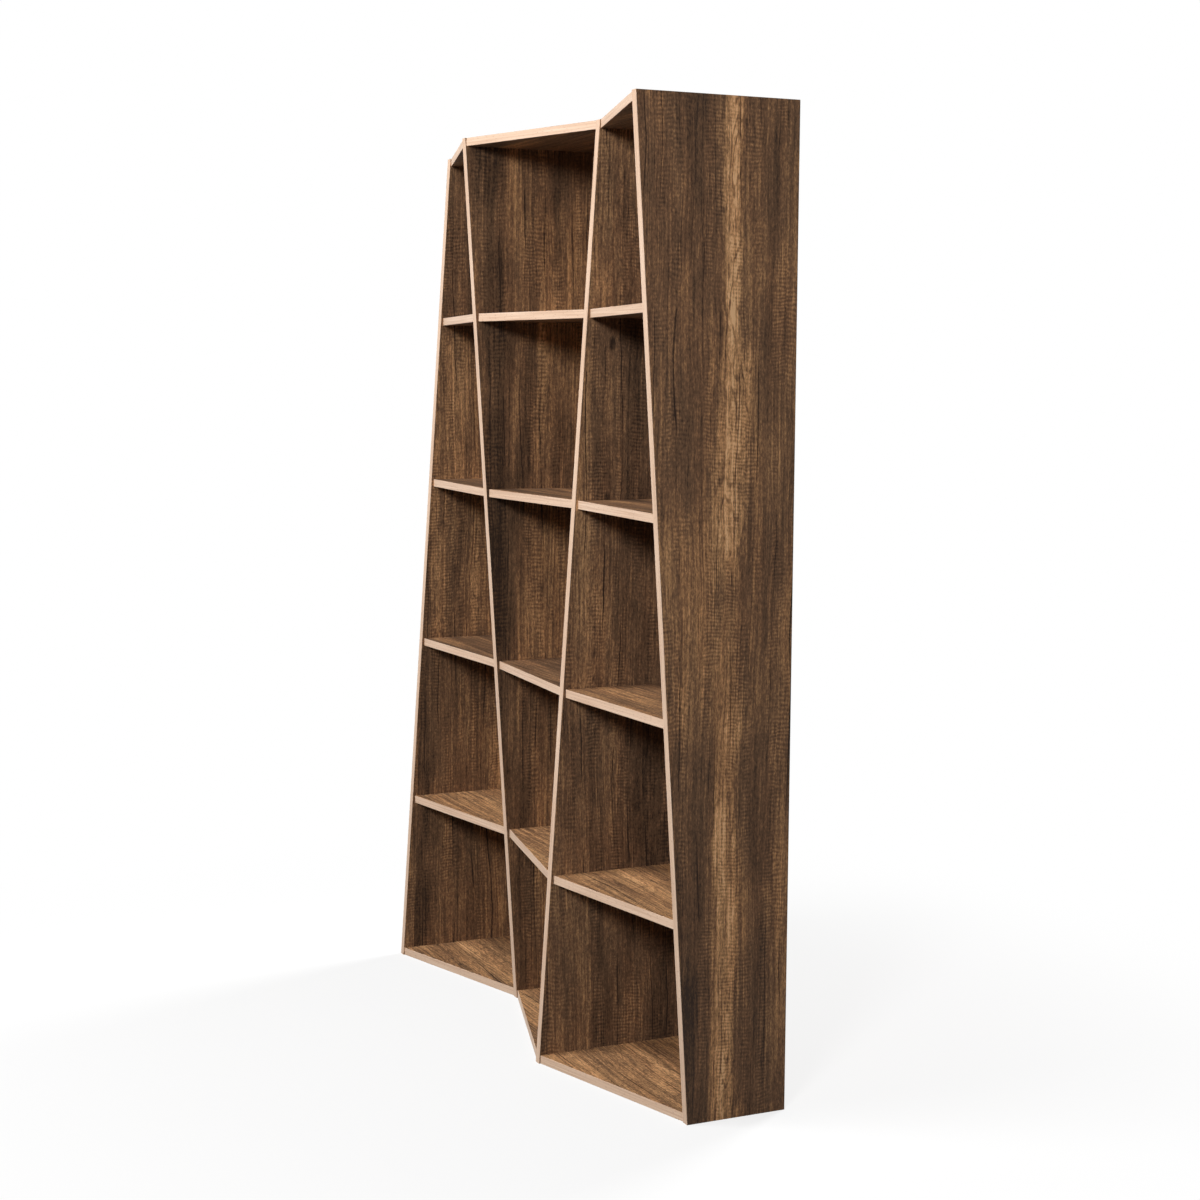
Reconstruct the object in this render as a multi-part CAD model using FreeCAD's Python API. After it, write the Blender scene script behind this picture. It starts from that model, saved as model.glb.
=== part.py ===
"""Three-bay bookcase with uprights whose front edges lean in and out by turns.

Millimetres. The origin is the middle of the floor rectangle, X runs to the right
as seen from the front, the front faces -Y and Z is up.
"""
import FreeCAD, Part
import os
from math import hypot, sqrt

# The whole bookcase.
height = 2000.0
width = 1350.0               # over the outer faces of the two side panels
deep_depth = 350.0           # an upright at its deep end
shallow_depth = 220.0        # an upright at its shallow end
board = 18.0                 # thickness of every upright, shelf, top and bottom board
shelf_count = 4              # shelves of a bay, between its bottom and top boards

# Front edges: glued edging, and how far the boards stay behind the uprights.
edging = 1.0
edging_round = 0.6
edging_round_share = 0.8      # most of the edging's thickness that its rounding may take
shelf_set_back = 7.0
end_board_set_back = 3.0

# Back panels, which stand in grooves and are screwed to the shelves.
back_thickness = 4.0
back_inset = 10.0            # from the rear edges of the uprights to the panel
groove_web = 6.0             # what stays of a divider between its two grooves
groove_play = 0.2            # on each face of the panel
groove_end_room = 0.5        # between the panel's edge and the groove's floor

# Cam fittings and dowels, which hold the boards between the uprights.
cam_diameter = 15.0
cam_inset = 34.0             # from the end of a board to the middle of a cam
cam_from_front = 40.0        # from the front of a board to the middle of a cam
cam_from_rear = 40.0         # from the back panel to the middle of a cam
cam_recess = 0.3             # the cam's driven face below the face of the board
cam_roof = 0.7               # cam metal above the bolt channel
cam_play = 0.1               # round a cam in its bore
cam_end_room = 0.5           # between a cam and the floor of its bore
cross_length = 7.0           # screwdriver recess of a cam
cross_width = 1.6
cross_depth = 2.5
bolt_diameter = 6.0
bolt_neck = 4.0              # the waist that a cam grips
bolt_neck_length = 4.0
bolt_head_length = 3.5
bolt_thread = 5.0            # the end that screws into a side panel
bolt_room = 0.5              # round a bolt in a board and in a cam's channel
dowel_diameter = 8.0
dowel_in_board = 20.0
dowel_chamfer = 1.0
blind_wall = 6.0             # what stays of a side panel beyond a blind hole
hole_play = 0.05             # round a bolt or dowel in an upright, a dowel in a board
hole_end_room = 1.0          # beyond the end of a dowel, bolt thread or screw

# Screws of the back panels.
screw_diameter = 3.0
screw_length = 16.0
screw_head_diameter = 7.0
screw_head_crown = 4.0       # flat middle of the domed head
screw_head_height = 2.0
screw_place_shares = (0.25, 0.75)

overrun = 2.0                # how far a cut starts outside the face that it opens
half_turn = 180.0
quarter_turn = 90.0

upright_names = ("left_side_panel", "left_divider", "right_divider", "right_side_panel")
bay_names = ("left", "centre", "right")

# Places that follow from these sizes.
bay_width = (width - len(upright_names) * board) / len(bay_names)
upright_left = [-width / 2 + i * (bay_width + board) for i in range(len(upright_names))]
last_upright = len(upright_names) - 1
rear_y = deep_depth / 2
panel_rear_y = rear_y - back_inset
panel_front_y = panel_rear_y - back_thickness
groove_depth = (board - groove_web) / 2
panel_in_groove = groove_depth - groove_end_room
blind_depth = board - blind_wall
bolt_hole_radius = bolt_diameter / 2 + bolt_room
cam_radius = cam_diameter / 2 - cam_play
cam_reach = board / 2 + bolt_hole_radius + cam_roof
shelf_step = height / (shelf_count + 1)
axis_x = FreeCAD.Vector(1, 0, 0)
axis_y = FreeCAD.Vector(0, 1, 0)
axis_z = FreeCAD.Vector(0, 0, 1)

# Levels from the floor up: name, height of the board's middle, set-back of its front.
levels = [("bottom_board", board / 2, end_board_set_back)]
levels += [(f"shelf_{k}", k * shelf_step, shelf_set_back) for k in range(1, shelf_count + 1)]
levels += [("top_board", height - board / 2, end_board_set_back)]


def is_shelf(level):
    """True for a shelf, False for a top or bottom board."""
    return level[0].startswith("shelf")


def depth_at(i, z):
    """Depth of upright i at height z: even ones are deep at the foot, odd ones at the head."""
    foot, head = (deep_depth, shallow_depth) if i % 2 == 0 else (shallow_depth, deep_depth)
    return foot + (head - foot) * z / height


def front_y(i, z):
    """Front of upright i at height z."""
    return rear_y - depth_at(i, z)


def board_ends(bay, level):
    """Front corners of a board: left and right ends, each as (x, y)."""
    middle, set_back = level[1:]
    left = (upright_left[bay] + board, front_y(bay, middle) + set_back)
    right = (upright_left[bay + 1], front_y(bay + 1, middle) + set_back)
    return left, right


def fitting_rows(i, level):
    """Places in Y of the front cam bolt, the dowel and the rear cam bolt on upright i.

    The front of a board slants away from the upright, so the front cam, which lies
    cam_inset along the board, is set back from the slanted edge and not from the corner.
    """
    middle, set_back = level[1:]
    neighbour = i + 1 if i == 0 else i - 1
    slant = (depth_at(i, middle) - depth_at(neighbour, middle)) / bay_width
    front = front_y(i, middle) + set_back + slant * cam_inset + cam_from_front
    rear = panel_front_y - cam_from_rear
    return front, (front + rear) / 2, rear


def prism(corners, sweep):
    """Solid swept from a closed outline of corner points."""
    points = [FreeCAD.Vector(*corner) for corner in corners]
    return Part.Face(Part.makePolygon(points + points[:1])).extrude(FreeCAD.Vector(*sweep))


def rod(radius, start, direction, length):
    """Round bar or hole cutter from a start point."""
    return Part.makeCylinder(radius, length, FreeCAD.Vector(*start), direction)


def hole(radius, start, direction, depth):
    """Cutter for a hole of this depth, begun one overrun outside its mouth."""
    mouth = FreeCAD.Vector(*start) - direction * overrun
    return Part.makeCylinder(radius, depth + overrun, mouth, direction)


def turned(stations):
    """Solid of revolution about X through (x, radius) stations."""
    ends = [(stations[0][0], 0)] + stations + [(stations[-1][0], 0)]
    points = [FreeCAD.Vector(x, radius, 0) for x, radius in ends]
    face = Part.Face(Part.makePolygon(points + points[:1]))
    return face.revolve(FreeCAD.Vector(0, 0, 0), axis_x)


def placed(shape, place, *turns):
    """Copy of a shape, turned by (axis, angle) pairs, the last pair first, then moved."""
    rotation = FreeCAD.Rotation()
    for axis, angle in turns:
        rotation = rotation * FreeCAD.Rotation(axis, angle)
    copy = shape.copy()
    copy.Placement = FreeCAD.Placement(FreeCAD.Vector(*place), rotation)
    return copy


def edging_strip(corner, across, inward, depth, along):
    """Edging with rounded outer edges: a section one board wide, swept along the front."""
    start = FreeCAD.Vector(*corner)
    arc_mid_share = 1 - sqrt(0.5)
    radius = min(edging_round, edging * edging_round_share)
    bulge = radius * arc_mid_share

    def at(u, v):
        return start + across * u + inward * v

    outline = [
        Part.LineSegment(at(0, depth), at(0, radius)),
        Part.Arc(at(0, radius), at(bulge, bulge), at(radius, 0)),
        Part.LineSegment(at(radius, 0), at(board - radius, 0)),
        Part.Arc(at(board - radius, 0), at(board - bulge, bulge), at(board, radius)),
        Part.LineSegment(at(board, radius), at(board, depth)),
        Part.LineSegment(at(board, depth), at(0, depth)),
    ]
    section = Part.Face(Part.Wire([curve.toShape() for curve in outline]))
    return section.extrude(FreeCAD.Vector(*along))


def upright(i):
    """Upright board and its front edging, with grooves and fitting holes cut."""
    left, right = upright_left[i], upright_left[i] + board
    foot_y, head_y = front_y(i, 0), front_y(i, height)
    edging_run = edging * hypot(height, head_y - foot_y) / height
    corners = [
        (left, foot_y + edging_run, 0),
        (left, rear_y, 0),
        (left, rear_y, height),
        (left, head_y + edging_run, height),
    ]
    cuts = []
    groove = Part.makeBox(
        groove_depth + overrun, back_thickness + 2 * groove_play, height + 2 * overrun
    )
    groove_y = panel_front_y - groove_play
    if i > 0:
        cuts.append(placed(groove, (left - overrun, groove_y, -overrun)))
    if i < last_upright:
        cuts.append(placed(groove, (right - groove_depth, groove_y, -overrun)))
    for level in levels:
        front, middle, rear = fitting_rows(i, level)
        z = level[1]
        if 0 < i < last_upright:
            bolt_radius, depth = bolt_diameter / 2 + hole_play, board + overrun
            mouth, inward = left, axis_x
        else:
            bolt_radius, depth = bolt_thread / 2 + hole_play, blind_depth
            mouth, inward = (right, -axis_x) if i == 0 else (left, axis_x)
        for y in (front, rear):
            cuts.append(hole(bolt_radius, (mouth, y, z), inward, depth))
        cuts.append(hole(dowel_diameter / 2 + hole_play, (mouth, middle, z), inward, depth))
    core = prism(corners, (board, 0, 0)).cut(cuts)
    strip = edging_strip(
        (left, foot_y, 0), axis_x, axis_y, edging_run, (0, head_y - foot_y, height)
    )
    return core, strip


def cross_board(bay, level):
    """Shelf, top or bottom board of a bay with its edging, bored for its fittings."""
    (left, left_y), (right, right_y) = board_ends(bay, level)
    middle = level[1]
    under, over = middle - board / 2, middle + board / 2
    edging_run = edging * hypot(bay_width, right_y - left_y) / bay_width
    back = panel_front_y if is_shelf(level) else rear_y
    corners = [
        (left, left_y + edging_run, under),
        (right, right_y + edging_run, under),
        (right, back, under),
        (left, back, under),
    ]
    cuts = []
    for end, inward, i in ((left, axis_x, bay), (right, -axis_x, bay + 1)):
        front_row, dowel_row, rear_row = fitting_rows(i, level)
        for y in (front_row, rear_row):
            cuts.append(hole(bolt_hole_radius, (end, y, middle), inward, cam_inset))
            cam_x = end + inward.x * cam_inset
            face, into = (over, -axis_z) if level is levels[-1] else (under, axis_z)
            cuts.append(hole(cam_diameter / 2, (cam_x, y, face), into, cam_reach + cam_end_room))
        dowel_depth = dowel_in_board + hole_end_room
        cuts.append(hole(dowel_diameter / 2 + hole_play, (end, dowel_row, middle), inward, dowel_depth))
    if is_shelf(level):
        for x in screw_places(bay):
            screw_depth = screw_length - back_thickness + hole_end_room
            cuts.append(hole(screw_diameter / 2 + hole_play, (x, back, middle), -axis_y, screw_depth))
    else:
        groove = Part.makeBox(
            bay_width + 2 * overrun, back_thickness + 2 * groove_play, groove_depth + overrun
        )
        groove_z = over - groove_depth if level is levels[0] else under - overrun
        cuts.append(placed(groove, (left - overrun, panel_front_y - groove_play, groove_z)))
    core = prism(corners, (0, 0, board)).cut(cuts)
    strip = edging_strip(
        (left, left_y, under), axis_z, axis_y, edging_run, (bay_width, right_y - left_y, 0)
    )
    return core, strip


def screw_places(bay):
    """Places in X of the screws through a bay's back panel."""
    return [upright_left[bay] + board + bay_width * share for share in screw_place_shares]


def back_panel(bay):
    """Thin panel in the grooves round a bay, drilled for the screws into the shelves."""
    panel = Part.makeBox(
        bay_width + 2 * panel_in_groove, back_thickness, height - 2 * board + 2 * panel_in_groove
    )
    start = (upright_left[bay] + board - panel_in_groove, panel_front_y, board - panel_in_groove)
    holes = [
        hole(screw_diameter / 2 + hole_play, (x, panel_rear_y, level[1]), -axis_y, back_thickness + overrun)
        for level in levels if is_shelf(level)
        for x in screw_places(bay)
    ]
    return placed(panel, start).cut(holes)


def cam_lock():
    """Cam for a board face at z = 0, driven from below, its bolt channel open towards -X."""
    body = rod(cam_radius, (0, 0, cam_recess), axis_z, cam_reach - cam_recess)
    channel_end = bolt_head_length / 2 + bolt_room
    channel = rod(bolt_hole_radius, (-cam_diameter, 0, board / 2), axis_x, cam_diameter + channel_end)
    arm = Part.makeBox(cross_length, cross_width, cam_recess + cross_depth)
    arm_along = placed(arm, (-cross_length / 2, -cross_width / 2, 0))
    arm_across = placed(arm, (cross_width / 2, -cross_length / 2, 0), (axis_z, quarter_turn))
    return body.cut([channel, arm_along, arm_across])


def bolt_tip():
    """Stations of a cam bolt from the face of its upright to the head in the cam."""
    head_start = cam_inset - bolt_head_length / 2
    neck_start = head_start - bolt_neck_length
    return [
        (neck_start, bolt_diameter / 2),
        (neck_start, bolt_neck / 2),
        (head_start, bolt_neck / 2),
        (head_start, bolt_diameter / 2),
        (head_start + bolt_head_length, bolt_diameter / 2),
    ]


def cam_bolt():
    """Bolt that screws into a side panel: its collar sits on the face at x = 0."""
    thread_start = hole_end_room - blind_depth
    thread = [(thread_start, bolt_thread / 2), (0, bolt_thread / 2), (0, bolt_diameter / 2)]
    return turned(thread + bolt_tip())


def double_bolt():
    """Bolt through a divider with a head at each end: x = 0 is the divider's right face."""
    mirrored = [(-board - x, radius) for x, radius in reversed(bolt_tip())]
    return turned(mirrored + bolt_tip())


def dowel(start, end):
    """Wooden dowel with chamfered ends, along X."""
    radius = dowel_diameter / 2
    tip = radius - dowel_chamfer
    return turned([
        (start, tip),
        (start + dowel_chamfer, radius),
        (end - dowel_chamfer, radius),
        (end, tip),
    ])


def back_screw():
    """Panel screw along X, the underside of its domed head at x = 0."""
    return turned([
        (-screw_head_height, screw_head_crown / 2),
        (0, screw_head_diameter / 2),
        (0, screw_diameter / 2),
        (screw_length, screw_diameter / 2),
    ])


def fittings():
    """Groups of like fittings, each solid where it is used."""
    cam, single, double = cam_lock(), cam_bolt(), double_bolt()
    short_dowel = dowel(hole_end_room - blind_depth, dowel_in_board)
    long_dowel = dowel(-board - dowel_in_board, dowel_in_board)
    groups = {name: [] for name in (
        "cam_locks", "side_panel_bolts", "divider_bolts", "side_panel_dowels", "divider_dowels",
        "back_panel_screws",
    )}
    for i in range(len(upright_names)):
        left, right = upright_left[i], upright_left[i] + board
        outer = i in (0, last_upright)
        seat, turn = (left, half_turn) if i == last_upright else (right, 0)
        for level in levels:
            z = level[1]
            front, middle, rear = fitting_rows(i, level)
            bolt = single if outer else double
            for y in (front, rear):
                groups["side_panel_bolts" if outer else "divider_bolts"].append(
                    placed(bolt, (seat, y, z), (axis_z, turn))
                )
                flip = half_turn if level is levels[-1] else 0
                face = z + board / 2 if flip else z - board / 2
                if i < last_upright:
                    groups["cam_locks"].append(placed(cam, (right + cam_inset, y, face), (axis_x, flip)))
                if i > 0:
                    turns = ((axis_z, half_turn), (axis_x, flip))
                    groups["cam_locks"].append(placed(cam, (left - cam_inset, y, face), *turns))
            groups["side_panel_dowels" if outer else "divider_dowels"].append(
                placed(short_dowel if outer else long_dowel, (seat, middle, z), (axis_z, turn))
            )
    for bay in range(len(bay_names)):
        for level in levels:
            if is_shelf(level):
                groups["back_panel_screws"] += [
                    placed(back_screw(), (x, panel_rear_y, level[1]), (axis_z, -quarter_turn))
                    for x in screw_places(bay)
                ]
    return {name: Part.makeCompound(solids) for name, solids in groups.items()}


nodes = {}
for i, name in enumerate(upright_names):
    nodes[name], nodes[f"{name}_edging"] = upright(i)
for bay, bay_name in enumerate(bay_names):
    for level in levels:
        name = f"{level[0]}_{bay_name}"
        nodes[name], nodes[f"{name}_edging"] = cross_board(bay, level)
    nodes[f"back_panel_{bay_name}"] = back_panel(bay)
nodes.update(fittings())

os.makedirs("parts", exist_ok=True)
for name, shape in nodes.items():
    shape.exportStep(f"parts/{name}.step")
print(len(nodes), "nodes")
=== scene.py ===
"""Bookcase with a zigzag front: finishes, light and camera around its packed boards."""
import math
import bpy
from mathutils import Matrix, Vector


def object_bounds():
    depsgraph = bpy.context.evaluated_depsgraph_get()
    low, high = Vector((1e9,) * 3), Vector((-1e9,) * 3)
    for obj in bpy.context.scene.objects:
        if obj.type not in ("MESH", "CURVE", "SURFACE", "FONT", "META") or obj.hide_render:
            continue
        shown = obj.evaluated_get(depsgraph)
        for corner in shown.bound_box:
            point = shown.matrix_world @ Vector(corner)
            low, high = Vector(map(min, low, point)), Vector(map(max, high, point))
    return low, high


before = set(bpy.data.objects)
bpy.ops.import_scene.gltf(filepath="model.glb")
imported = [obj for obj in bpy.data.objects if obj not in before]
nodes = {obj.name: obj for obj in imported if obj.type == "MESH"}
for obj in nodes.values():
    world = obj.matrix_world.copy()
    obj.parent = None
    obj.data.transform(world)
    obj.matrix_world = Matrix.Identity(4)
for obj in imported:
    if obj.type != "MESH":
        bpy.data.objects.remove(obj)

from types import SimpleNamespace

import bpy
from mathutils import Matrix, Vector

cad_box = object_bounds()


# Uprights: two side panels and two dividers of 18 mm chipboard faced with a dark rustic oak print.
# The print's grain stands upright and each panel is cut from its own place on the printed sheet.
# Rear edges are left as the saw leaves them; the cross boards are drawn against the faces by cams.
def swatch(red, green, blue):
    """Linear colour of a swatch read as 0 to 255: each part over 255, back through the display's curve."""
    parts = (v / 255 for v in (red, green, blue))
    return (*(v / 12.92 if v <= 0.04045 else ((v + 0.055) / 1.055) ** 2.4 for v in parts), 1.0)


def node_maker(tree):
    """Short ways to put nodes in a tree. Each takes sockets or numbers and gives the new node's output."""

    def feed(socket, value):
        """Links an output to the socket, or sets a number or colour on it."""
        if isinstance(value, bpy.types.NodeSocket):
            tree.links.new(value, socket)
        else:
            socket.default_value = value

    def sums(operation, *values):
        """One of the math node's operations, by its name, on the values in order."""
        node = tree.nodes.new("ShaderNodeMath")
        node.operation = operation
        for socket, value in zip(node.inputs, values):
            feed(socket, value)
        return node.outputs[0]

    def times(value, factor):
        """The value times a factor."""
        return sums("MULTIPLY", value, factor)

    def plus(start, value, weight=1.0):
        """start plus the value times its weight."""
        return sums("MULTIPLY_ADD", value, weight, start)

    def centred(value):
        """A value around one half, less that half."""
        return sums("SUBTRACT", value, 0.5)

    def total(start, *pairs):
        """start plus each centred value times its weight."""
        for value, weight in pairs:
            start = plus(start, centred(value), weight)
        return start

    def point(x, y, z):
        """A place from three numbers."""
        node = tree.nodes.new("ShaderNodeCombineXYZ")
        for socket, value in zip(node.inputs, (x, y, z)):
            feed(socket, value)
        return node.outputs[0]

    def apart(vector):
        """The three numbers of a place, a direction or a colour."""
        node = tree.nodes.new("ShaderNodeSeparateXYZ")
        feed(node.inputs[0], vector)
        return node.outputs

    def stretched(place, per_metre):
        """A place with each axis multiplied by its own number."""
        node = tree.nodes.new("ShaderNodeVectorMath")
        node.operation = "MULTIPLY"
        feed(node.inputs[0], place)
        feed(node.inputs[1], per_metre)
        return node.outputs[0]

    def cloud(place, per_metre, detail=2.0, rough=0.5):
        """Smooth random value around one half, with per_metre lumps to the metre along each axis."""
        node = tree.nodes.new("ShaderNodeTexNoise")
        feed(node.inputs["Vector"], stretched(place, per_metre))
        feed(node.inputs["Scale"], 1.0)
        feed(node.inputs["Detail"], detail)
        feed(node.inputs["Roughness"], rough)
        return node.outputs[0]

    def strips(place, feature="F1", soft=0.0):
        """Random strips along one number.

        Gives how far the nearest middle or border is, and three random numbers of the strip.
        """
        node = tree.nodes.new("ShaderNodeTexVoronoi")
        node.voronoi_dimensions = "1D"
        node.feature = feature
        feed(node.inputs["W"], place)
        feed(node.inputs["Scale"], 1.0)
        if feature == "DISTANCE_TO_EDGE":
            return node.outputs["Distance"], None
        if feature == "SMOOTH_F1":
            feed(node.inputs["Smoothness"], soft)
        return node.outputs["Distance"], apart(node.outputs["Color"])

    def cells(place, per_metre):
        """Random cells, per_metre to the metre: how far the nearest middle is, and three numbers of it."""
        node = tree.nodes.new("ShaderNodeTexVoronoi")
        feed(node.inputs["Vector"], stretched(place, per_metre))
        feed(node.inputs["Scale"], 1.0)
        return node.outputs["Distance"], apart(node.outputs["Color"])

    def fade(value, low, high):
        """0 below low, 1 above high, a soft step between; high may lie under low."""
        node = tree.nodes.new("ShaderNodeMapRange")
        node.interpolation_type = "SMOOTHSTEP"
        for name, number in (("Value", value), ("From Min", low), ("From Max", high)):
            feed(node.inputs[name], number)
        return node.outputs[0]

    def ramp(value, stops):
        """Colour that runs straight from one stop of (place, colour) to the next."""
        node = tree.nodes.new("ShaderNodeValToRGB")
        feed(node.inputs[0], value)
        points = node.color_ramp.elements
        while len(points) < len(stops):
            points.new(1.0)
        for mark, (place, colour) in zip(points, stops):
            mark.position, mark.color = place, colour
        return node.outputs[0]

    def mix(share, first, second, kind="MIX"):
        """From the first colour to the second by the share, or to their product."""
        node = tree.nodes.new("ShaderNodeMix")
        node.data_type, node.blend_type = "RGBA", kind
        feed(node.inputs["Factor"], share)
        feed(node.inputs[6], first)
        feed(node.inputs[7], second)
        return node.outputs[2]

    return SimpleNamespace(feed=feed, sums=sums, times=times, plus=plus, centred=centred, total=total,
                           point=point, apart=apart, cloud=cloud, strips=strips, cells=cells, fade=fade,
                           ramp=ramp, mix=mix)


def oak_print():
    """The printed sheet as a node group of (across, along, sheet, streak), lengths in metres.

    tone = middle + bands + smudges + staves + fibres + speckle + saw ripple + streak
           + flames - year lines - cathedral lines - pores - seams - cracks - knots
    Bands, smudges and fibres are random clouds drawn out along the grain, which wanders by a slow cloud.
    Bands, smudges and staves are calmer within a pale streak; the streak input also brings painted light and
    painted shade on some boards. The tone picks the colour from bark brown to ochre; fibres, pores and cracks
    also give the embossed height.
    """
    group = bpy.data.node_groups.new("oak_print", "ShaderNodeTree")
    given_names = ("Across", "Along", "Sheet", "Streak")
    for name in given_names:
        group.interface.new_socket(name, in_out="INPUT", socket_type="NodeSocketFloat")
    group.interface.new_socket("Colour", in_out="OUTPUT", socket_type="NodeSocketColor")
    group.interface.new_socket("Height", in_out="OUTPUT", socket_type="NodeSocketFloat")
    given = group.nodes.new("NodeGroupInput").outputs
    result = group.nodes.new("NodeGroupOutput").inputs
    across, along, sheet, streak = (given[name] for name in given_names)
    make = node_maker(group)
    times, plus, cloud, fade = make.times, make.plus, make.cloud, make.fade

    # Grain: it wanders slowly and wavers quickly about a straight course.
    flat = make.point(across, along, sheet)
    wander = cloud(flat, (4.0, 1.3, 1.0), detail=1.0)
    waver = cloud(flat, (26.0, 7.0, 1.0), detail=2.0)
    grain = make.total(across, (wander, 0.045), (waver, 0.010))
    run = make.point(grain, along, sheet)

    # Broad tones: long bands, smudges, and staves of about 40 mm with a tone of their own.
    bands = cloud(run, (12.0, 0.8, 1.7), detail=4.0, rough=0.55)
    smudges = cloud(run, (16.0, 4.0, 4.7), detail=4.0, rough=0.62)
    staves_per_metre, staves_per_sheet = 26.0, 3.7
    stave_place = plus(times(grain, staves_per_metre), sheet, staves_per_sheet)
    _, stave = make.strips(stave_place, "SMOOTH_F1", soft=0.35)

    # Fine grain: fibres, and a speckle that the print's dots leave.
    fibres = cloud(run, (230.0, 4.5, 3.1), detail=4.0, rough=0.66)
    speckle = cloud(run, (330.0, 110.0, 1.0), detail=3.0, rough=0.75)

    # Saw ripple: soft bars across the grain, 7 to 10 mm apart, in ladders about 45 mm wide that come and go.
    # Each ladder has a spacing, a start and a slant of its own.
    ladders_per_metre, ladders_per_sheet = 22.0, 5.3
    fewest_bars, more_bars, most_shift, most_slant = 100.0, 40.0, 9.0, 30.0
    off, ladder = make.strips(plus(times(grain, ladders_per_metre), sheet, ladders_per_sheet))
    beat = times(along, plus(fewest_bars, ladder["X"], more_bars))
    beat = plus(beat, ladder["Y"], most_shift)
    beat = plus(beat, times(make.centred(ladder["Z"]), grain), most_slant)
    beat = make.total(beat, (cloud(run, (26.0, 24.0, 1.0), detail=2.0), 2.0))
    bars = times(make.sums("SINE", times(beat, 2 * math.pi)), fade(off, 0.62, 0.30))
    ripple = times(bars, fade(cloud(run, (34.0, 6.0, 5.9), detail=3.0), 0.38, 0.64))

    # Pores: short dark dashes. Seams: dark borders of the staves, here and there.
    pores = fade(cloud(run, (420.0, 42.0, 1.0), detail=0.0), 0.64, 0.74)
    border, _ = make.strips(stave_place, "DISTANCE_TO_EDGE")
    seams = times(fade(border, 0.030, 0.008), fade(cloud(run, (9.0, 3.2, 7.7), detail=1.0), 0.50, 0.58))

    # Cracks: lines that gape by 2.6 mm at most and thin out to nothing.
    cracks_per_metre, widest_crack = 24.0, 0.0026
    gape = fade(cloud(run, (26.0, 4.2, 7.3), detail=1.0), 0.47, 0.65)
    lines = plus(times(grain, cracks_per_metre), cloud(run, (7.0, 1.5, 6.1), detail=1.0), 1.6)
    beyond = plus(lines, gape, cracks_per_metre * widest_crack)
    cracks = make.sums("SUBTRACT", make.sums("FLOOR", beyond), make.sums("FLOOR", lines))

    # Pale wood alone has flames, year lines, and cathedral lines along the contours of a cloud.
    pale = make.sums("MAXIMUM", fade(bands, 0.60, 0.78), streak)
    flames = cloud(run, (55.0, 16.0, 3.3), detail=4.0, rough=0.72)
    years = fade(cloud(run, (150.0, 2.4, 2.2), detail=3.0, rough=0.65), 0.46, 0.64)
    contours = 10.0
    contour = make.sums("FRACT", times(cloud(run, (20.0, 4.0, 8.3), detail=2.0), contours))
    cathedrals = times(fade(make.sums("ABSOLUTE", make.centred(contour)), 0.20, 0.05),
                       fade(cloud(run, (9.0, 3.4, 9.9), detail=1.0), 0.42, 0.52))

    # Knots: a few small dark eyes, in one cell out of three.
    eye, eye_kind = make.cells(run, (6.0, 2.4, 1.3))
    knots = times(fade(eye, 0.055, 0.02), make.sums("GREATER_THAN", eye_kind["X"], 0.66))

    # Tone: the broad tones, calmed within a pale streak, then the fine grain, then each mark by its weight.
    middle_tone = 0.430
    broad = make.total(0.0, (bands, 0.60), (smudges, 0.70), (stave["X"], 0.20))
    calm = plus(1.0, fade(streak, 0.0, 0.7), -0.45)
    tone = make.total(times(broad, calm), (fibres, 1.00), (speckle, 1.00))
    tone = make.sums("ADD", tone, middle_tone)
    marks = (
        (ripple, 0.092), (times(make.centred(flames), pale), 0.50), (times(years, pale), -0.15),
        (streak, 0.355), (times(cathedrals, pale), -0.19), (times(pores, make.sums("ADD", pale, 0.5)), -0.10),
        (seams, -0.16), (cracks, -0.42), (knots, -0.40))
    for mark, weight in marks:
        tone = plus(tone, mark, weight)

    # Colour and height: the ink from bark brown to ochre, a little warmer or cooler by patches.
    ink = make.ramp(tone, (
        (0.00, swatch(50, 36, 28)), (0.14, swatch(73, 54, 40)), (0.32, swatch(103, 77, 57)),
        (0.45, swatch(125, 93, 69)), (0.575, swatch(151, 113, 81)), (0.66, swatch(176, 133, 93)),
        (0.76, swatch(199, 150, 105)), (0.88, swatch(228, 174, 124)), (1.0, swatch(253, 203, 151))))
    warmer, cooler = (1.01, 0.99, 0.97, 1), (0.98, 1.0, 1.0, 1)
    patches = fade(cloud(run, (34.0, 3.0, 9.1), detail=2.0), 0.35, 0.65)
    make.feed(result["Colour"], make.mix(1.0, ink, make.mix(patches, warmer, cooler), "MULTIPLY"))
    make.feed(result["Height"], plus(plus(fibres, pores, -0.5), cracks, -1.0))
    return group


def new_finish(name):
    """A new finish: its material, its shader, its node maker, and the sockets for places on the piece."""
    material = bpy.data.materials.new(name)
    material.use_nodes = True
    tree = material.node_tree
    place = tree.nodes.new("ShaderNodeTexCoord").outputs
    return material, tree.nodes["Principled BSDF"], node_maker(tree), place


oak = oak_print()
plain_shade = (1, 1, 1, 1)
chipboard = (260.0, swatch(120, 92, 62), swatch(176, 142, 102), swatch(206, 178, 138))


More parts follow.
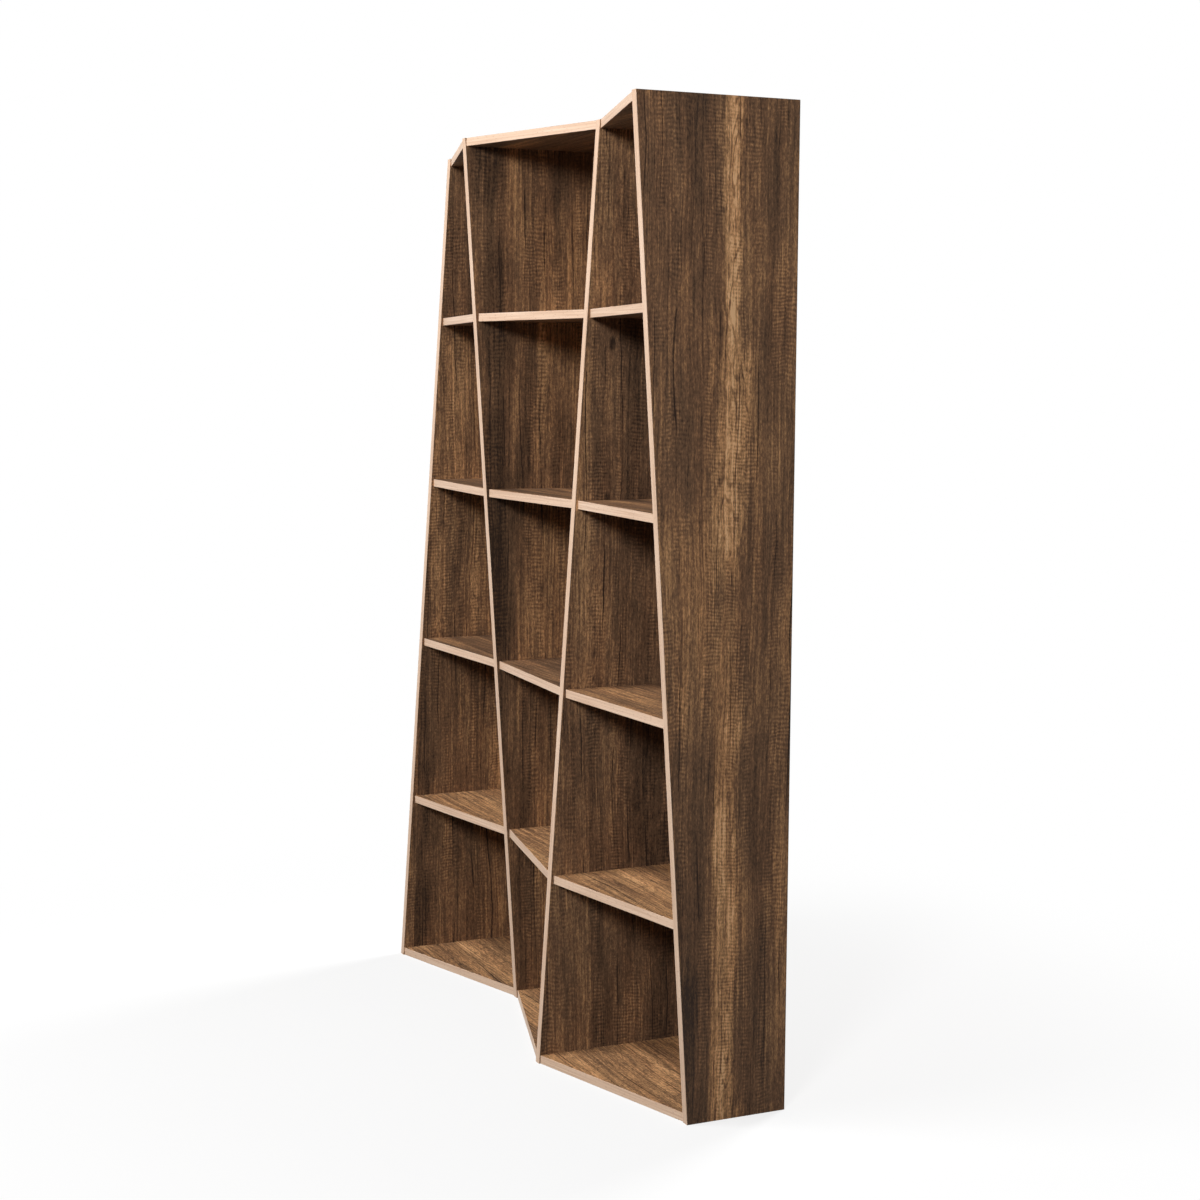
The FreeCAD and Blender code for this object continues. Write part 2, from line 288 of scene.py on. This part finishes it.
def oak_board(name, sheet, across, along, face, streaks_and_painted_light=(), rear=chipboard, shade=plain_shade):
    """Faced board: the oak print on both faces, bare wood chips or fibres on what faces the wall.

    Axes are letters of X, Y, Z. Streaks are on the face that looks along its axis; each is (middle across,
    half width, start, end, tone), lengths in metres, with a ragged border and soft ends. Some are painted
    light on board tops and painted shade near the floor, not print. Rear is lumps to the metre, then dark,
    middle and pale colour. Shade multiplies the print, for a sheet of another batch.
    """
    material, shader, make, place = new_finish(name)
    tree = material.node_tree
    at = dict(zip("XYZ", make.apart(place["Object"])))
    turned = dict(zip("XYZ", make.apart(place["Normal"])))

    tint = 0.0
    if streaks_and_painted_light:
        sway, raggedness, soft_end = 0.03, 0.060, 0.05
        gone_at, full_within = 1.25, 0.30
        spot = make.point(at[across], at[along], sheet)
        ragged = make.cloud(spot, (110.0, 3.5, 1.0), detail=4.0, rough=0.65)
        swayed = make.total(at[across], (make.cloud(spot, (3.0, 3.0, 1.0), detail=2.0), sway))
        for middle, half, start, end, tone in streaks_and_painted_light:
            off = make.sums("ABSOLUTE", make.sums("SUBTRACT", swayed, middle))
            off = make.total(off, (ragged, raggedness))
            wide = make.fade(off, gone_at * half, full_within * half)
            long = make.times(make.fade(at[along], start - soft_end, start + soft_end),
                              make.fade(at[along], end + soft_end, end - soft_end))
            tint = make.plus(tint, make.times(wide, long), tone)
        tint = make.times(tint, make.sums("GREATER_THAN", turned[face], 0.5))

    between_faces = 4.37
    printed = tree.nodes.new("ShaderNodeGroup")
    printed.node_tree = oak
    make.feed(printed.inputs["Across"], at[across])
    make.feed(printed.inputs["Along"], at[along])
    make.feed(printed.inputs["Sheet"], make.plus(sheet, make.sums("SIGN", turned[face]), between_faces))
    make.feed(printed.inputs["Streak"], tint)

    lumps, dark, middling, pale = rear
    stains = lumps / 40
    chips = make.cloud(place["Object"], (lumps, lumps, lumps), detail=2.0, rough=0.6)
    mottle = make.cloud(place["Object"], (stains, stains, stains), detail=5.0, rough=0.7)
    bare_tone = make.total(0.5, (chips, 1.0), (mottle, 0.4))
    bare = make.ramp(bare_tone, ((0.3, dark), (0.5, middling), (0.68, pale)))
    behind = make.sums("GREATER_THAN", turned["Y"], 0.9)

    shaded = make.mix(1.0, printed.outputs["Colour"], shade, "MULTIPLY")
    make.feed(shader.inputs["Base Color"], make.mix(behind, shaded, bare))
    make.feed(shader.inputs["Roughness"], make.plus(0.68, printed.outputs["Height"], -0.2))
    shader.inputs["Specular IOR Level"].default_value = 0.18
    emboss = tree.nodes.new("ShaderNodeBump")
    emboss.inputs["Strength"].default_value = 0.12
    emboss.inputs["Distance"].default_value = 0.0006
    make.feed(emboss.inputs["Height"], printed.outputs["Height"])
    make.feed(shader.inputs["Normal"], emboss.outputs[0])
    return material


def dress(node, material):
    """Puts one finish on all of a CAD node's slots."""
    mesh = nodes[node].data
    mesh.materials.clear()
    mesh.materials.append(material)


# Streaks that stand out on the faces towards the camera; the boldest runs up the right side panel.
# Each is (middle across, half width, start, end, tone), and a darker one has a tone below zero.
# The last on the right side panel, dark at the front of its foot, is painted shade near the floor.
upright_streaks_and_painted_shade = {
    "left_side_panel": (
        (-0.045, 0.085, 1.20, 1.60, 0.62), (-0.078, 0.026, 0.80, 1.20, 0.45),
        (0.020, 0.028, 0.85, 1.20, 0.35), (0.000, 0.160, 0.80, 1.20, 0.29)),
    "left_divider": (
        (-0.108, 0.034, 1.60, 2.10, -0.34), (-0.095, 0.062, 1.20, 1.60, -0.40),
        (-0.085, 0.050, 0.80, 1.20, -0.45), (0.050, 0.085, 1.55, 1.85, 0.50),
        (0.015, 0.022, 1.20, 1.60, 0.45), (0.010, 0.070, 0.80, 1.20, 0.52),
        (0.040, 0.080, 1.25, 1.60, 0.15), (0.000, 0.160, 0.40, 0.78, -0.14)),
    "right_divider": (
        (0.000, 0.090, 1.60, 2.10, 0.38), (0.000, 0.130, 0.80, 1.20, 0.19),
        # The dark streaks at 0.09 and 0.13 across make the rear of its lower half darker.
        (0.005, 0.026, 0.40, 0.75, 0.26), (0.090, 0.070, 0.40, 0.78, -0.40),
        (0.130, 0.050, -0.10, 0.40, -0.40), (0.080, 0.040, 0.80, 0.96, -0.26),
        (0.000, 0.180, 0.40, 0.78, -0.14)),
    "right_side_panel": (
        (0.036, 0.075, 0.76, 2.10, 0.34), (0.030, 0.019, 1.53, 2.10, 1.24),
        (0.036, 0.046, 1.10, 1.53, 0.92), (0.036, 0.044, 0.76, 1.04, 0.22),
        (0.034, 0.028, -0.10, 0.66, 0.64), (0.034, 0.032, -0.10, 0.78, 0.36),
        (0.046, 0.064, -0.10, 0.82, 0.34), (-0.045, 0.052, 1.25, 2.10, -0.26),
        (-0.066, 0.060, -0.10, 0.76, -0.42), (-0.070, 0.060, 0.80, 1.20, 0.24),
        # The last streak, dark at the front of the foot, is painted shade near the floor.
        (0.110, 0.050, -0.10, 0.78, -0.34), (-0.045, 0.048, -0.10, 0.30, -0.58)),
}
batch = {"right_divider": (0.96, 1.00, 1.05, 1), "right_side_panel": (1.00, 0.99, 1.00, 1)}
first_upright_sheet, upright_sheet_step = 2.0, 13.1
for place_in_row, (node, streaks_and_painted_light) in enumerate(upright_streaks_and_painted_shade.items()):
    sheet = upright_sheet_step * place_in_row + first_upright_sheet
    shade = batch.get(node, plain_shade)
    finish = oak_board(node + "_oak", sheet, across="Y", along="Z", face="X", streaks_and_painted_light=streaks_and_painted_light, shade=shade)
    dress(node, finish)


# Cross boards: bottom boards, shelves and top boards, one of each per bay, of the same faced chipboard.
# Their grain runs from side to side, and their ends butt against the uprights on cams and dowels.
# The two lowest rows are painted paler on top: painted light from above on their top faces.
bays = ("left", "centre", "right")
rows = ["bottom_board"] + [f"shelf_{i}" for i in range(1, 5)] + ["top_board"]
# Painted light: the top faces of the lowest rows are painted paler, as if lit more from above.
painted_light_rows, painted_light_top = 2, (0.0, 1.0, -1.0, 1.0, 0.66)
first_board_sheet, row_sheet_step, bay_sheet_step = 71.0, 11.3, 29.7
for tier, row in enumerate(rows):
    streaks_and_painted_light = (painted_light_top,) if tier < painted_light_rows else ()
    for bay, where in enumerate(bays):
        board = f"{row}_{where}"
        sheet = first_board_sheet + row_sheet_step * tier + bay_sheet_step * bay
        dress(board, oak_board(board + "_oak", sheet, across="Y", along="X", face="Z", streaks_and_painted_light=streaks_and_painted_light))


# Edgings: a 1 mm strip of pale pinkish beech print glued to the front edge of every board and upright.
# The strip's long arrises are eased so that no sharp edge is left, and its grain runs along the strip.
def edging(name, across, along):
    """Pale strip: beech swatches picked by fine and broad clouds drawn out along it, with brown specks."""
    material, shader, make, place = new_finish(name)
    at = dict(zip("XYZ", make.apart(place["Object"])))
    run = make.point(at[across], at[along], 0.0)
    fine = make.cloud(run, (300.0, 5.0, 1.0), detail=3.0)
    broad = make.cloud(run, (60.0, 2.2, 1.0), detail=2.0)
    specks = make.fade(make.cloud(run, (520.0, 130.0, 1.0), detail=0.0), 0.66, 0.78)
    tone = make.total(0.5, (fine, 1.3), (broad, 0.5))
    beech_print = make.ramp(tone, (
        (0.2, swatch(212, 174, 144)), (0.5, swatch(231, 197, 169)), (0.8, swatch(243, 213, 188))))
    speck_brown, speck_strength = swatch(168, 126, 100), 0.4
    speckled = make.mix(make.times(specks, speck_strength), beech_print, speck_brown)
    make.feed(shader.inputs["Base Color"], speckled)
    make.feed(shader.inputs["Roughness"], make.plus(0.4, fine, 0.2))
    shader.inputs["Specular IOR Level"].default_value = 0.3
    return material


upright_edging = edging("upright_edging_beech", across="X", along="Z")
board_edging = edging("board_edging_beech", across="Z", along="X")
for node in nodes:
    if node.endswith("_edging"):
        dress(node, upright_edging if node.endswith(("panel_edging", "divider_edging")) else board_edging)


# Back panels: 4 mm hardboard slid into grooves of the uprights and screwed to the rear of the shelves.
# The face towards the shelves carries the oak print, the face towards the wall is plain brown fibre.
hardboard = (700.0, swatch(108, 78, 52), swatch(126, 93, 65), swatch(141, 107, 77))
first_panel_sheet, panel_sheet_step = 191.0, 17.9
for bay, where in enumerate(bays):
    panel = f"back_panel_{where}"
    sheet = first_panel_sheet + panel_sheet_step * bay
    finish = oak_board(panel + "_hardboard", sheet, across="X", along="Z", face="Y", rear=hardboard)
    dress(panel, finish)


# Fittings: cams of zinc casting, steel bolts and screws with a bright plating, and plain beech dowels.
# Cams lie flush in the boards; bolts and dowels sit in blind bores and through the dividers.
def metal(name, colour, rough, bare):
    """Casting or plating: colour and roughness mottled by a fine cloud; bare metal is 1, a dull skin less."""
    material, shader, make, place = new_finish(name)
    mottle = make.cloud(place["Object"], (900.0, 900.0, 900.0), detail=2.0)
    darker = tuple(0.72 * v for v in colour[:3]) + (1.0,)
    make.feed(shader.inputs["Base Color"], make.ramp(mottle, ((0.35, darker), (0.62, colour))))
    make.feed(shader.inputs["Roughness"], make.plus(rough, mottle, 0.3))
    shader.inputs["Metallic"].default_value = bare
    return material


zinc = metal("cam_zinc_casting", swatch(206, 202, 194), rough=0.32, bare=0.4)
plating = metal("plated_steel_bright", swatch(200, 192, 172), rough=0.22, bare=1.0)
beech = edging("dowel_beech_plain", across="Y", along="X")
fittings = {
    "cam_locks": zinc, "side_panel_bolts": plating, "divider_bolts": plating, "back_panel_screws": plating,
    "side_panel_dowels": beech, "divider_dowels": beech}
for node, finish in fittings.items():
    dress(node, finish)


# Floor: a wide pale studio floor with the bookcase's soft shadow, white at a distance.
# The share of plain white grows with the distance from the bookcase, for what the camera and mirrors see;
# light that only bounces off the floor meets a dark grey, so that the undersides of the boards stay dark.
def white_seen(tree):
    """1 for the rays that show the background: from the camera, from a mirror or through glass."""
    make = node_maker(tree)
    ray = tree.nodes.new("ShaderNodeLightPath").outputs
    seen = make.sums("MAXIMUM", ray["Is Camera Ray"], ray["Is Glossy Ray"])
    return make.sums("MAXIMUM", seen, ray["Is Transmission Ray"])


scene = bpy.context.scene
reach = 14.0
corners = [(-reach, -reach, 0), (reach, -reach, 0), (reach, reach, 0), (-reach, reach, 0)]
floor_mesh = bpy.data.meshes.new("studio_floor")
floor_mesh.from_pydata(corners, [], [(0, 1, 2, 3)])
floor = bpy.data.objects.new("studio_floor", floor_mesh)
scene.collection.objects.link(floor)

near, far, white_when_near = 0.8, 2.0, 0.78
bounce_grey, seen_white = (0.12, 0.12, 0.12, 1), (0.95, 0.95, 0.95, 1)
floor_paint = bpy.data.materials.new("studio_floor_paint")
floor_paint.use_nodes = True
tree = floor_paint.node_tree
tree.nodes.clear()
make = node_maker(tree)
away = tree.nodes.new("ShaderNodeVectorMath")
away.operation = "LENGTH"
make.feed(away.inputs[0], tree.nodes.new("ShaderNodeTexCoord").outputs["Object"])
share = make.plus(white_when_near, make.fade(away.outputs["Value"], near, far), 1.0 - white_when_near)
paint = tree.nodes.new("ShaderNodeBsdfDiffuse")
make.feed(paint.inputs["Color"], make.mix(white_seen(tree), bounce_grey, seen_white))
glow = tree.nodes.new("ShaderNodeEmission")
both = tree.nodes.new("ShaderNodeMixShader")
make.feed(both.inputs[0], make.times(share, white_seen(tree)))
make.feed(both.inputs[1], paint.outputs[0])
make.feed(both.inputs[2], glow.outputs[0])
make.feed(tree.nodes.new("ShaderNodeOutputMaterial").inputs["Surface"], both.outputs[0])
floor_mesh.materials.append(floor_paint)


# Studio light: a soft lamp in front to the right, one in front to the left, one high in front and one behind,
# and a trace of even fill from white walls, which are plain white to the camera.
scene.view_settings.view_transform = "Standard"
scene.world = bpy.data.worlds.new("studio")
scene.world.use_nodes = True
tree = scene.world.node_tree
fill = 0.008
walls = tree.nodes["Background"]
make = node_maker(tree)
make.feed(walls.inputs["Strength"], make.plus(fill, white_seen(tree), 1.0 - fill))
walls.inputs["Color"].default_value = (1, 1, 1, 1)

height = cad_box[1][2]
middle, upper_half = Vector((0, 0, 0.5 * height)), Vector((0, 0, 0.75 * height))


def soft_lamp(name, azimuth, elevation, distance, size, level):
    """Round soft lamp at a distance from the bookcase's middle, aimed at its upper half.

    Level is the light on a sheet that faces the lamp; the power is level times pi squared times the
    distance squared. Azimuth is from the front towards the right, both angles in degrees.
    """
    lamp = bpy.data.lights.new(name, "AREA")
    lamp.shape, lamp.size = "DISK", size
    lamp.energy = level * math.pi**2 * distance**2
    turn, rise = math.radians(azimuth), math.radians(elevation)
    way = Vector((math.sin(turn) * math.cos(rise), -math.cos(turn) * math.cos(rise), math.sin(rise)))
    place = middle + way * distance
    aim = (place - upper_half).to_track_quat("Z", "Y")
    holder = bpy.data.objects.new(name, lamp)
    scene.collection.objects.link(holder)
    holder.matrix_world = Matrix.Translation(place) @ aim.to_matrix().to_4x4()


soft_lamp("side_lamp", azimuth=50, elevation=21.8, distance=5.5, size=1.1, level=0.47)
soft_lamp("front_lamp", azimuth=-15, elevation=20, distance=3.6, size=1.2, level=0.36)
soft_lamp("high_lamp", azimuth=0, elevation=60, distance=5.0, size=1.5, level=0.50)
soft_lamp("rear_lamp", azimuth=-160, elevation=35, distance=5.0, size=1.5, level=0.90)


# Camera: at a person's eye height, far to the right of the bookcase, as the photograph was taken.
# It looks a little downwards and is rolled by 0.3 degrees.
eye = Vector((4.1222, -1.8209, 1.48))
yaw, pitch, roll = math.radians(65.997), math.radians(-5.821), math.radians(0.2996)
forward = Vector((-math.sin(yaw) * math.cos(pitch), math.cos(yaw) * math.cos(pitch), math.sin(pitch)))
level_right = Vector((math.cos(yaw), math.sin(yaw), 0))
level_up = level_right.cross(forward)
right = level_right * math.cos(roll) + level_up * math.sin(roll)
up = level_up * math.cos(roll) - level_right * math.sin(roll)
camera = bpy.data.objects.new("camera", bpy.data.cameras.new("camera"))
scene.collection.objects.link(camera)
scene.camera = camera
camera.matrix_world = Matrix.Translation(eye) @ Matrix((right, up, -forward)).transposed().to_4x4()
camera.data.sensor_width = 36
camera.data.lens = 60.82
camera.data.shift_x, camera.data.shift_y = 0.018, -0.0185
